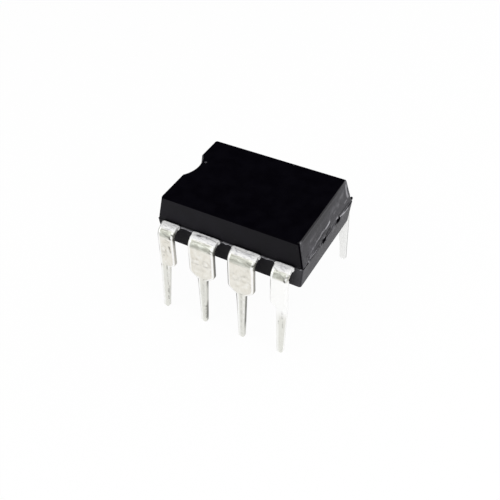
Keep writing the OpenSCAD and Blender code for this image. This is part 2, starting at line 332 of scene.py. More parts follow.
def tin():
    """Solder-dipped lead: rims with a painted highlight, a duller middle, a band of painted shade below the
    bend, sheared edges darkened partly by painted shade, and a root blackened by resin bleed and painted
    shade."""
    p = Paint("tin_plate", 0.34, metallic=0.7)
    cloud = p.noise(0.35, 4, distort=0.6)
    streak = p.noise(0.1, 3, stretch=(6, 1, 1))
    scratch = p.noise(0.05, 2, stretch=(1, 1, 9))
    fine = p.noise(0.03, 3)
    crazed = p.noise(0.12, 3, stretch=(3, 1, 1), distort=0.8)
    middle = p.mix(p.span(cloud, 0.3, 0.7), rgb(228, 224, 213), rgb(243, 241, 234))
    middle = p.mix(p.layer("pin"), middle, rgb(228, 229, 223))
    middle = p.mix(p.math("MULTIPLY", p.span(scratch, 0.5, 0.7), 0.35), middle, rgb(214, 211, 203))
    frosted = p.mix(p.span(crazed, 0.38, 0.5), rgb(206, 206, 210), rgb(255, 255, 255))
    middle = p.mix(p.layer("frost"), middle, frosted)
    middle = p.mix(p.math("MULTIPLY", p.layer("bright"), 0.95), middle, rgb(254, 254, 253))
    # A band of painted shade just below the bend
    band = p.mix(p.span(crazed, 0.38, 0.62), rgb(168, 169, 158), rgb(203, 205, 196))
    face = p.mix(p.layer("fold_shade"), middle, band)
    # Painted shade on the dark sides of the marks
    face = p.mix(p.layer("mark_shade"), face, rgb(56, 52, 46))
    # Painted highlight along the rolled rims, the dam bar stubs and the light marks
    rim = p.math("MULTIPLY", p.layer("rim"), p.span(cloud, 0.25, 0.5, 0.8, 1.0))
    face = p.mix(rim, face, rgb(254, 254, 253))
    # Sheared metal at the cut sides, darkened further by painted shade from the mesh code
    sheared = p.mix(p.span(scratch, 0.35, 0.65), rgb(66, 65, 60), rgb(112, 111, 105))
    face = p.mix(p.layer("shear_and_shade"), face, sheared)
    # Black at the lead's root: resin bleed, and painted shade at the foot of the package's wall
    colour = p.mix(p.layer("bleed_and_shade"), face, rgb(9, 8, 12))
    roughness = p.math("ADD", p.span(cloud, 0.3, 0.7, 0.28, 0.4), p.math("MULTIPLY", p.layer("frost"), 0.2))
    pale = p.math("MAXIMUM", p.layer("frost"), p.math("MULTIPLY", p.layer("bright"), 0.8))
    p.put(p.span(pale, 0.0, 1.0, 0.7, 0.12), p.shader.inputs["Metallic"])
    normal = p.bump(streak, 0.003, p.bump(fine, 0.0015, p.bump(crazed, 0.008)))
    return p.finish(colour, roughness, normal)


def frame_alloy():
    """Bare, matte sheet of the lead frame, with its ends at the tie bars painted near black as shade in
    their pockets.
    """
    p = Paint("frame_alloy_sheet", 0.45, metallic=1.0)
    grain = p.noise(0.06, 3, stretch=(6, 1, 1))
    stain = p.noise(0.5, 4)
    colour = p.mix(p.span(stain, 0.35, 0.7), (0.2, 0.19, 0.18, 1), (0.34, 0.33, 0.31, 1))
    # Painted shade: near black at the ends in the tie bar pockets
    colour = p.mix(p.span(p.across(), 4.3 * MM, 4.5 * MM), colour, (0.03, 0.029, 0.03, 1))
    return p.finish(colour, p.span(grain, 0.3, 0.7, 0.36, 0.54), p.bump(grain, 0.003))


def silver_epoxy():
    p = Paint("silver_filled_epoxy", 0.55, metallic=0.4)
    flakes = p.cells(0.02)
    colour = p.mix(p.span(flakes, 0.1, 0.6), (0.78, 0.77, 0.74, 1), (0.5, 0.49, 0.46, 1))
    return p.finish(colour, p.span(flakes, 0.1, 0.6, 0.4, 0.65), p.bump(flakes, 0.003))


def silicon():
    p = Paint("silicon_chip", 0.12, metallic=0.5)
    haze = p.noise(0.25, 3)
    colour = p.mix(p.span(haze, 0.35, 0.65), (0.1, 0.11, 0.15, 1), (0.16, 0.17, 0.22, 1))
    return p.finish(colour, p.span(haze, 0.3, 0.7, 0.08, 0.2), p.bump(haze, 0.001))


def gold():
    p = Paint("gold_bond_wire", 0.22, metallic=1.0)
    drawn = p.noise(0.015, 2)
    colour = p.mix(p.span(drawn, 0.3, 0.7), (0.85, 0.55, 0.18, 1), (1.0, 0.72, 0.3, 1))
    return p.finish(colour, p.span(drawn, 0.3, 0.7, 0.18, 0.3), p.bump(drawn, 0.0008))


def new_piece(name, bm, materials, node):
    """An object from mesh code that takes the place of one node of the part."""
    obj = mesh_object(name, bm, materials)
    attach(obj, "root")
    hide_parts(node)
    return obj


# Package

# The finishes of the compound, in the order of the package's materials. Besides their roughness, gloss and
# grain,
# they are lit and shaded copies: the top, corners and pockets painted darker as shade, the ends painted
# lighter where the light falls.
DARKEST_SHADE, SIDE, SCRATCHED_LIT_END, BROKEN, EDGE = range(5)


def draw_in(z, h, draft):
    """How far a drafted face has drawn in at height z of a half h high, with its rounded edge."""
    tan, sin, cos = (f(math.radians(draft)) for f in (math.tan, math.sin, math.cos))
    up = z - (h - EDGE_R)
    if up <= EDGE_R * sin:
        return z * tan
    return (h - EDGE_R) * tan + EDGE_R / cos - math.sqrt(max(0, EDGE_R**2 - up**2))


def ring(length, width):
    """Points round the package in plan, with the way out at each: (x, y, out_x, out_y)."""
    steps_far, steps_side, steps_near, steps_corner = 150, 150, 60, 6
    a, b, r = length / 2 - CORNER_R, width / 2 - CORNER_R, CORNER_R
    found = []

    def run(x0, y0, x1, y1, ox, oy, steps):
        for i in range(steps):
            t = i / steps
            found.append((x0 + (x1 - x0) * t, y0 + (y1 - y0) * t, ox, oy))

    def turn(cx, cy, start):
        for i in range(steps_corner):
            w = math.radians(start + 90 * i / steps_corner)
            found.append((cx + r * math.cos(w), cy + r * math.sin(w), math.cos(w), math.sin(w)))

    run(a + r, -b, a + r, b, 1, 0, steps_far)
    turn(a, b, 0)
    run(a, b + r, -a, b + r, 0, 1, steps_side)
    turn(-a, b, 90)
    run(-a - r, b, -a - r, -b, -1, 0, steps_near)
    turn(-a, -b, 180)
    run(-a, -b - r, a, -b - r, 0, -1, steps_side)
    turn(a, -b, 270)
    return found


def levels():
    """Heights over the parting plane, from the underside up, each with its half: -1 below, 1 above."""
    edge = [math.sin(math.radians(90 * i / 6)) for i in range(7)]

    def one_half(h):
        near = [0.06 + 0.032 * i for i in range(21)]
        far = [0.7 + (h - EDGE_R - 0.7) * i / 6 for i in range(1, 6)]
        return near + far + [h - EDGE_R + EDGE_R * e for e in edge]

    half_web = FLASH_T / 2
    low = [(-z, -1) for z in reversed(one_half(LOWER_H))]
    middle = [(-half_web - 0.003, -1), (-half_web, -1), (0.0, -1)]
    middle += [(0.004, 1), (half_web, 1), (half_web + 0.003, 1)]
    return low + middle + [(z, 1) for z in one_half(UPPER_H)]


def web(x, y):
    """How far the flash stands out at a place on the side of the package, ragged along its edge.
    It lies between the leads and ends a little past the last one."""
    gap = min(abs(x - along(k)) for k in range(1, ROW_LEADS + 1))
    clear = ease(gap, 0.6, 0.72)
    last = along(ROW_LEADS)
    inside = (1 - ease(x, last + 0.62, last + 0.74)) * (1 - ease(-x, last, last + 0.1))
    ragged = clamp(1.0 + 0.5 * rough(x, y, 3.1, 0.2, 4), 0.6, 1.3)
    return FLASH_W * ragged * inside * clear


def spur(x, z):
    """The small spur of flash at the vent, near the far corner of the gate end."""
    return SPUR_OUT * math.exp(-(((x - SPUR_X) / 0.08) ** 2) - ((z - SPUR_Z) / 0.055) ** 2)


# Upper edge of the broken gate along the end, as (place across, height)
GATE_LINE = [(-2.5, 0.12), (-2.3, 0.28), (-2.1, 0.35), (-1.55, 0.44), (-1.0, 0.5)]
GATE_LINE += [(-0.6, 0.57), (-0.2, 0.54), (0.1, 0.57), (0.33, 0.6), (0.42, 0.2)]


def gate_top(y):
    """Height of the broken gate's upper edge along the end, which runs down towards the near side."""
    return table(GATE_LINE, y) + 0.02 * rough(0.0, y, 8.2, 0.12, 3)


# Marks on the gate end, which shape its relief and are painted on it as scuffs, as highlights on lit edges
# and as
# shadows in pits: tone, half width, and the line it follows as (place across, height)
END_MARKS_AND_PAINTED_LIGHT = [
    (0.75, 0.04, [(0.32, 0.62), (0.11, 0.56), (-0.22, 0.53)]),
    (0.4, 0.035, [(-0.22, 0.53), (-0.64, 0.58), (-0.98, 0.5), (-1.29, 0.5)]),
    (0.25, 0.035, [(-1.29, 0.5), (-1.55, 0.44), (-1.86, 0.41)]),
    (0.17, 0.035, [(-1.86, 0.41), (-2.13, 0.35), (-2.32, 0.3)]),
    (-0.35, 0.04, [(0.3, 0.51), (0.05, 0.46), (-0.6, 0.47), (-1.5, 0.34)]),
    (0.4, 0.035, [(-1.28, 0.02), (-1.8, 0.05), (-2.3, 0.11)]),
    (0.45, 0.05, [(-2.43, 0.01), (-2.47, 0.03)]),
    (-0.5, 0.035, [(-2.62, 0.47), (-2.34, 0.42)]),
    (0.4, 0.035, [(2.53, 0.49), (2.25, 0.47)]),
    (-0.75, 0.035, [(2.7, 0.16), (1.35, 0.19)]),
    (0.9, 0.04, [(2.53, -0.05), (2.18, -0.05), (1.82, 0.02), (1.45, 0.08), (1.2, 0.15)]),
    (-0.6, 0.05, [(1.07, 0.05), (1.0, 0.05)]),
    (0.6, 0.035, [(1.3, 0.2), (1.02, 0.22)]),
    (-1.5, 0.06, [(0.16, 0.22), (0.06, 0.2)]),
    (-1.4, 0.07, [(-0.1, 0.18), (-0.24, 0.12)]),
    (-0.5, 0.05, [(-0.78, 0.1), (-0.84, 0.05)]),
    (-0.4, 0.04, [(1.1, -0.2), (0.95, -0.21)]),
    (0.4, 0.035, [(0.62, -0.24), (0.55, -0.3)]),
    (0.35, 0.035, [(0.62, -0.5), (0.6, -0.55)]),
    (0.6, 0.04, [(-0.55, 0.17), (-0.68, 0.14)]),
    (0.45, 0.04, [(-1.05, 0.03), (-1.13, 0.0)]),
    (0.35, 0.035, [(-0.88, -0.21), (-0.95, -0.23)]),
    (-0.4, 0.04, [(-1.2, 0.17), (-1.6, 0.2)]),
    (-0.35, 0.04, [(-1.8, -0.06), (-2.2, -0.02)]),
    (0.25, 0.04, [(-0.3, -0.1), (0.2, -0.02), (0.8, 0.0)]),
    (0.3, 0.03, [(-1.9, 0.24), (-2.2, 0.2)]),
    (0.6, 0.08, [(2.74, 1.47), (2.66, 1.1), (2.66, 0.84), (2.74, 0.59)]),
    (-0.5, 0.05, [(2.5, 1.42), (1.2, 1.42)]),
    (0.25, 0.04, [(2.4, 1.3), (1.3, 1.28)]),
    (-0.5, 0.17, [(1.0, 1.44), (-0.5, 1.42), (-2.5, 1.42)]),
    (0.12, 0.1, [(2.3, 1.1), (1.2, 1.0), (0.6, 1.0)]),
    (0.2, 0.06, [(-0.9, 1.05), (-1.9, 0.98)]),
    (0.2, 0.05, [(1.6, 0.8), (0.9, 0.7)]),
]

# Painted highlight and painted shade along the rounded top edge of the gate end, as (place across, tone)
EDGE_PAINTED_LIGHT = [(-2.95, 0.7), (-2.75, 0.2), (-2.5, -0.35), (-1.6, -0.45), (-0.8, -0.4)]
EDGE_PAINTED_LIGHT += [(0.2, -0.4), (1.0, -0.1), (1.7, 0.05), (2.4, 0.1), (2.95, 0.6)]


def end_relief(y, z):
    """How far the gate end stands out over its drafted face, or is pitted below it."""
    inside = ease(y, -2.6, -2.45) * (1 - ease(y, 0.33, 0.42))
    top = gate_top(y)
    stump = inside * ease(z, 0.0, 0.03) * (1 - ease(z, top - 0.02, top + 0.015)) if z > 0 else 0.0
    torn = inside * math.exp(-(((z - 0.05) / 0.2) ** 2))
    out = 0.03 * stump * clamp(0.85 + 0.5 * rough(1.7, y, z, 0.1, 4), 0.4, 1.2)
    out -= 0.015 * torn * (1 + rough(4.4, y, z, 0.09, 4))
    marks = traced(END_MARKS_AND_PAINTED_LIGHT, y, z)
    return out + (0.03 * marks if marks > 0 else 0.05 * max(marks, -1.6))


def shade(x, y, z, half, ox, oy):
    """Share by which a place on the package is lighter (above 0) or darker (below 0) than its finish:
    painted highlights and shade, a lighter flash and random tone.
    """
    if z > UPPER_H - 0.001 or z < 0.001 - LOWER_H:
        return 0.0
    # Painted highlight and painted shade along the rounded top edge of the gate end
    if ox > 0.9 and z > UPPER_H - EDGE_R - 0.001:
        up = (z - UPPER_H + EDGE_R) / EDGE_R
        band = math.exp(-(((up - 0.55) / 0.4) ** 2))
        return table(EDGE_PAINTED_LIGHT, y) * band * clamp(0.8 + 0.5 * rough(x, y, z, 0.3))
    # The gate end: painted highlights and shadows of its marks, with random crumbs and clouds of tone
    if ox > 0.99 and z < UPPER_H - EDGE_R:
        crumbs = 0.25 * rough(2.2, y, z, 0.12, 4) * math.exp(-(((z - 0.1) / 0.3) ** 2))
        cloud = 0.1 * rough(6.1, y, z, 0.4, 3) - 0.03
        return 1.15 * traced(END_MARKS_AND_PAINTED_LIGHT, y, z) + crumbs + cloud
    if abs(oy) > 0.5:
        if abs(z) <= FLASH_T / 2 + 0.001 and web(x, y) > 0.01:
            return 0.45 + 0.4 * rough(x, y, 1.0, 0.15)
        # A painted shadow in a line at the foot of the upper wall, over the flash
        if half > 0 and 0.03 < z < 0.12:
            return -0.6
        # The upper side painted darker as shade towards the gate end and towards the parting line
        if half > 0:
            return -0.45 * ease(x, -4.4, 4.4) - 0.15 * ease(-z, -0.9, -0.1)
        # The lower side painted darker as shade, and lighter near the gate end
        return 0.1 * ease(x, 3.4, 4.5) - 0.3 * (1 - ease(x, 2.6, 3.6))
    # A painted highlight on the rounded upright corner at the near side of the notch end
    if ox < -0.2 and oy < -0.2 and half > 0:
        return 0.2 * ease(z, 0.2, 0.6) * clamp(1 + rough(x, y, z, 0.2))
    return 0.0


def stand_out(x, y, z, half, ox, oy):
    """How far the surface stands out over its half's drafted wall at this place."""
    if abs(oy) > 0.5:
        out = 0.0
        if abs(z) <= FLASH_T / 2 + 0.001:
            width = web(x, y)
            out = width + LEDGE * clamp(width / 0.02) * (half > 0)
        if oy < 0:
            out -= 0.05 * (1 - ease(x, -4.66, -4.3)) * math.exp(-((z / 0.13) ** 2))
        return out + (spur(x, z) if oy > 0 and half > 0 else 0.0)
    if ox > 0.99 and EDGE_R - LOWER_H < z < UPPER_H - EDGE_R:
        return end_relief(y, z)
    if ox < -0.99 and abs(z) < 0.3:
        worn = 0.006 + 0.03 * (1 - ease(y, -3.0, -2.4))
        rubbed = -worn * (1 + 0.6 * rough(7.7, y, z, 0.15, 3)) * math.exp(-((z / 0.13) ** 2))
        return rubbed - (LEDGE * ease(z, -0.2, -0.03) if half < 0 else 0.0)
    return 0.0


def face_finish(f):
    """Which finish of the compound a face of the package has."""
    c = f.calc_center_median() / MM
    z = c.z - PART_Z
    nx, ny, nz = f.normal
    # At the parting line, the flash's upper faces take the darkest copy as painted shade under the ledge
    if abs(z) < FLASH_T / 2 + 0.004:
        return DARKEST_SHADE if nz > 0.6 else BROKEN
    # Rounded top edges: the ends' own glossier edge, elsewhere the darkest copy as painted shade
    if z > UPPER_H - EDGE_R and nz < 0.97:
        return EDGE if nx > 0.1 and abs(ny) < 0.3 else DARKEST_SHADE
    if nz > 0.8:
        return DARKEST_SHADE
    # The ends and the gate take the copy painted lighter where the light falls
    if abs(nx) > 0.8 or (c.x > BODY_L / 2 - 0.5 and abs(c.y) < 2.9):
        return SCRATCHED_LIT_END
    # Upright corners take the darkest copy as painted shade
    if abs(nx) > 0.3 and abs(ny) > 0.3:
        return DARKEST_SHADE
    return SIDE


def build_package():
    """The block as one skin of rings, with its finish for each face and its painted light and shade."""
    bm = bmesh.new()
    light = bm.verts.layers.float.new("light")
    dark = bm.verts.layers.float.new("dark")
    rings = []
    for z, half in levels():
        if half > 0:
            length = BODY_L - 2 * LEDGE - 2 * draw_in(z, UPPER_H, END_DRAFT_UP)
            width = BODY_W - 2 * LEDGE - 2 * draw_in(z, UPPER_H, SIDE_DRAFT_UP)
        else:
            length = BODY_L - 2 * draw_in(-z, LOWER_H, END_DRAFT_LOW)
            width = BODY_W - 2 * draw_in(-z, LOWER_H, SIDE_DRAFT_LOW)
        row = []
        for x, y, ox, oy in ring(length, width):
            out = stand_out(x, y, z, half, ox, oy)
            v = bm.verts.new(vec(min(x + ox * out, BODY_L / 2), y + oy * out, PART_Z + z))
            tone = shade(x, y, z, half, ox, oy)
            v[light] = clamp(tone)
            v[dark] = clamp(-tone)
            row.append(v)
        rings.append(row)
    n = len(rings[0])
    for low, high in zip(rings, rings[1:]):
        for i in range(n):
            j = (i + 1) % n
            bm.faces.new((low[i], low[j], high[j], high[i]))
    bm.faces.new(rings[-1])
    bm.faces.new(list(reversed(rings[0])))
    bm.normal_update()
    for f in bm.faces:
        f.smooth = True
        f.material_index = face_finish(f)
    return bm


# Bands of the notch's wall that round off its upper edge
LIP_BANDS = 5


def revolve(bm, x, y, profile, steps, index, top_index):
    """A closed turned shape about an upright line; profile is (radius, height) from the bottom to the top.
    The last bands of its wall have the finish top_index, and the rest has index."""
    turns = [2 * math.pi * i / steps for i in range(steps)]
    loops = []
    for radius, z in profile:
        places = [vec(x + radius * math.cos(w), y + radius * math.sin(w), z) for w in turns]
        loops.append([bm.verts.new(place) for place in places])
    made = [bm.faces.new(list(reversed(loops[0]))), bm.faces.new(loops[-1])]
    for f in made:
        f.material_index = index
    for number, (a, b) in enumerate(zip(loops, loops[1:])):
        for i in range(steps):
            j = (i + 1) % steps
            f = bm.faces.new((a[i], a[j], b[j], b[i]))
            f.material_index = top_index if number >= len(loops) - 1 - LIP_BANDS else index
            f.smooth = True


def block(bm, low, high, index):
    """A box between two corners."""
    made = bmesh.ops.create_cube(bm, size=1)["verts"]
    centre = (Vector(low) + Vector(high)) / 2
    size = Vector(high) - Vector(low)
    for v in made:
        v.co = vec(*(centre + Vector(a * b for a, b in zip(v.co, size))))
    for f in {f for v in made for f in v.link_faces}:
        f.material_index = index


def build_cuts():
    """Everything that is taken out of the package: notch, chip, tie bar pockets and ejector marks."""
    bm = bmesh.new()
    past = 0.5
    x = BODY_L / 2 - LEDGE - UPPER_H * math.tan(math.radians(END_DRAFT_UP))
    floor_r = NOTCH_R - NOTCH_DEPTH * math.tan(math.radians(NOTCH_DRAFT))
    floor_z = TOP_Z - NOTCH_DEPTH
    fillet, lip = 0.08, 0.05
    profile = []
    for i in range(5):
        w = math.radians(90 * i / 4)
        profile.append((floor_r - fillet * (1 - math.sin(w)), floor_z + fillet * (1 - math.cos(w))))
    profile.append((NOTCH_R - lip * math.tan(math.radians(NOTCH_DRAFT)), TOP_Z - lip))
    for i in range(1, 5):
        w = math.radians(90 * i / 4)
        profile.append((NOTCH_R + lip * (1 - math.cos(w)), TOP_Z - lip + lip * math.sin(w)))
    profile.append((NOTCH_R + lip, TOP_Z + past))
    revolve(bm, NOTCH_REACH - NOTCH_R - x, NOTCH_Y, profile, 160, SIDE, EDGE)
    # A chip in the top's edge by the notch, whose light broken compound is also a painted glint
    chip = [(0.05, TOP_Z - 0.03), (0.08, TOP_Z - 0.015), (0.1, TOP_Z + 0.1)]
    revolve(bm, CHIP_X, CHIP_Y, chip, 12, BROKEN, BROKEN)
    under = PART_Z - LOWER_H
    ejector = [
        (EJECTOR_D / 2, under - past),
        (EJECTOR_D / 2, under + EJECTOR_DEPTH - 0.02),
        (EJECTOR_D / 2 - 0.02, under + EJECTOR_DEPTH),
    ]
    for end in (-1, 1):
        revolve(bm, end * BODY_L / 3, 0, ejector, 64, SIDE, SIDE)
        for side in (-1, 1):
            y = TIE_Y + side * TIE_SPREAD / 2
            inner, outer = sorted((end * (BODY_L / 2 - TIE_RECESS), end * (BODY_L / 2 + past)))
            # The tie bar pockets take the darkest copy of the compound as painted shade
            block(
                bm,
                (inner, y - TIE_W / 2 - POCKET_ROOM, PART_Z - LEAD_T / 2 - POCKET_ROOM),
                (outer, y + TIE_W / 2 + POCKET_ROOM, PART_Z + LEAD_T / 2 + POCKET_ROOM),
                DARKEST_SHADE,
            )
    return bm


def subtract(obj, bm, materials):
    """Take the shapes in bm, which use the same list of materials, out of an object for good."""
    bmesh.ops.recalc_face_normals(bm, faces=bm.faces)
    cutter = mesh_object("cuts", bm, materials)
    cut = obj.modifiers.new("cuts", "BOOLEAN")
    cut.operation = "DIFFERENCE"
    cut.solver = "EXACT"
    cut.object = cutter
    bpy.context.view_layer.update()
    ready = obj.evaluated_get(bpy.context.evaluated_depsgraph_get())
    done = bpy.data.meshes.new_from_object(ready)
    obj.modifiers.clear()
    obj.data = done
    bpy.data.objects.remove(cutter)


def make_package(materials):
    """The package with its cuts. They mix the painted light and shade at their rims, so the top, the notch
    and the chip are set back to plain."""
    obj = new_piece("moulded_package", build_package(), materials, "mould_body")
    subtract(obj, build_cuts(), materials)
    notch_start, notch_half = -3.6, NOTCH_W / 2 + 0.1
    for v in obj.data.vertices:
        at_notch = v.co.x < notch_start * MM and abs(v.co.y - NOTCH_Y * MM) < notch_half * MM
        if at_notch or v.co.z > TOP_Z * MM - 1e-6:
            for name in ("light", "dark"):
                obj.data.attributes[name].data[v.index].value = 0
    obj.data.set_sharp_from_angle(angle=math.radians(38))
    weighted = obj.modifiers.new("weighted", "WEIGHTED_NORMAL")
    weighted.keep_sharp = True


# Leads

# Shares of the tin's looks that the mesh code writes on the leads for their material, several of them
# painted highlight and shade
LOOKS = ("rim", "shear_and_shade", "fold_shade", "frost", "mark_shade", "bright", "pin", "bleed_and_shade")


def low_half(k):
    """Half width of lead k of a row towards -X, above its shoulder."""
    return END_OUTER if k == 1 else END_INNER if k == ROW_LEADS else WIDE_W / 2


def high_half(k):
    """Half width of lead k of a row towards +X, above its shoulder."""
    return END_OUTER if k == ROW_LEADS else END_INNER if k == 1 else WIDE_W / 2


def shoulder_line(half, slope):
    """(z, half width) up one edge of a lead from its pin's root, with the shoulder corner rounded."""
    root = Vector((PIN_ROOT_W / 2, PART_Z - SHOULDER_END))
    corner = Vector((half, PART_Z - SHOULDER_END + slope))
    up = Vector((half, SHEET_TOP))
    u, v = (root - corner).normalized(), (up - corner).normalized()
    bend = math.acos(clamp(u.dot(v), -1, 1)) / 2
    shorter = min((root - corner).length, (up - corner).length)
    fit = min(SHOULDER_R, 0.45 * shorter * math.tan(bend))
    c = corner + (u + v).normalized() * fit / math.sin(bend)
    start = corner + u * fit / math.tan(bend) - c
    end = corner + v * fit / math.tan(bend) - c
    a0 = math.atan2(start.y, start.x)
    sweep = (math.atan2(end.y, end.x) - a0 + 3 * math.pi) % (2 * math.pi) - math.pi
    steps = 10
    points = [(root.y, root.x)]
    for i in range(steps + 1):
        a = a0 + sweep * i / steps
        points.append((c.y + fit * math.sin(a), c.x + fit * math.cos(a)))
    return points + [(SHEET_TOP + 1, half)]


def edge_line(half, slope, lean, side):
    """(z, x) up one edge of a lead, side -1 towards -X and 1 towards +X."""
    tip = PIN_TIP_W / 2
    points = [(0, side * (tip - TIP_CHAMFER) + lean), (TIP_CHAMFER, side * tip + lean)]
    return points + [(z, side * w) for z, w in shoulder_line(half, slope)]


def path():
    """Stations down the middle of the sheet: (y, z, slope angle of the outer face, way down the leg).
    The last but one lies just over the tip."""
    bend_steps, leg_steps, over_tip = 26, 130, 0.015
    stops = []
    splay = math.degrees(SPLAY)
    flat_way = -BEND_MID * (math.pi / 2 - SPLAY)
    ys = [JOIN_Y, 3.0, 3.1, 3.16, 3.2, 3.23, 3.255, STUB_Y - 0.006, STUB_Y, 3.31, 3.33, 3.35, 3.38]
    for y in ys + [BEND_Y - 0.01, BEND_Y - 0.004]:
        stops.append((y, PART_Z, 90.0, flat_way + y - BEND_Y))
    for i in range(bend_steps + 1):
        a = 90 + (splay - 90) * i / bend_steps
        w = math.radians(a)
        y, z = BEND_Y + BEND_MID * math.cos(w), BEND_Z + BEND_MID * math.sin(w)
        stops.append((y, z, a, -BEND_MID * (w - SPLAY)))
    y0, z0 = stops[-1][0], stops[-1][1]
    length = z0 / math.cos(SPLAY)
    for i in range(1, leg_steps + 1):
        d = length * i / leg_steps
        if i == leg_steps:
            stops.append((y0 + (d - over_tip) * math.sin(SPLAY), over_tip, splay, d - over_tip))
        stops.append((y0 + d * math.sin(SPLAY), z0 - d * math.cos(SPLAY), splay, d))
    return stops


